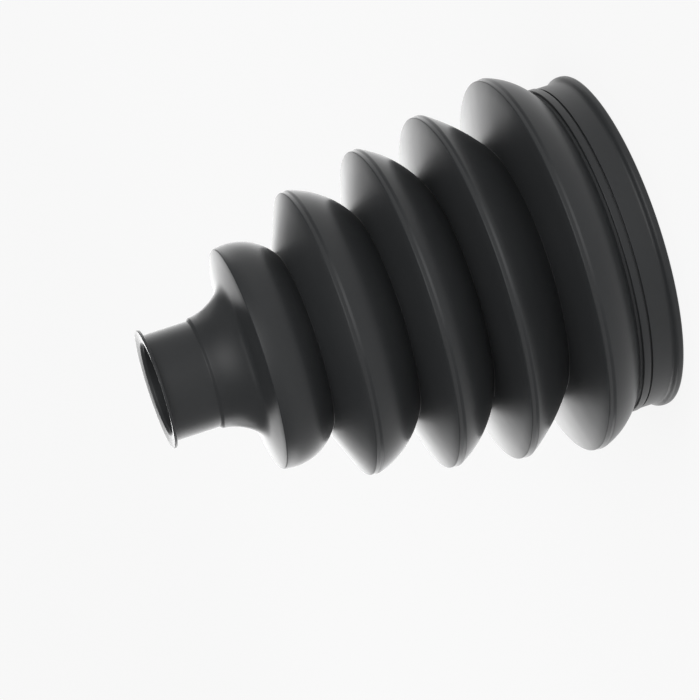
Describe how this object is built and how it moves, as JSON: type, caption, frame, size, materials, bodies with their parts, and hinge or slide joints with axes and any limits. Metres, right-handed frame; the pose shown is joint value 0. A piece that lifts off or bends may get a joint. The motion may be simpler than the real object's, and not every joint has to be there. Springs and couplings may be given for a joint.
{
  "type": "rubber bellows boot",
  "caption": "Tapered black rubber bellows boot with a narrow lipped cuff at one end and a wide ribbed cuff at the other, for sealing a shaft joint.",
  "frame": {"origin": "centre of the large rim's plane, on the boot's axis, at the level it stands on", "axes": "+Z along the boot's axis, from the large cuff to the small one; X and Y are free, as the boot is round"},
  "size_m": [0.0976, 0.0976, 0.122],
  "materials": {
    "rubber": "satin, moulded"
  },
  "bodies": {
    "root": {"bellows_boot": "rubber"}
  },
  "joints": []
}
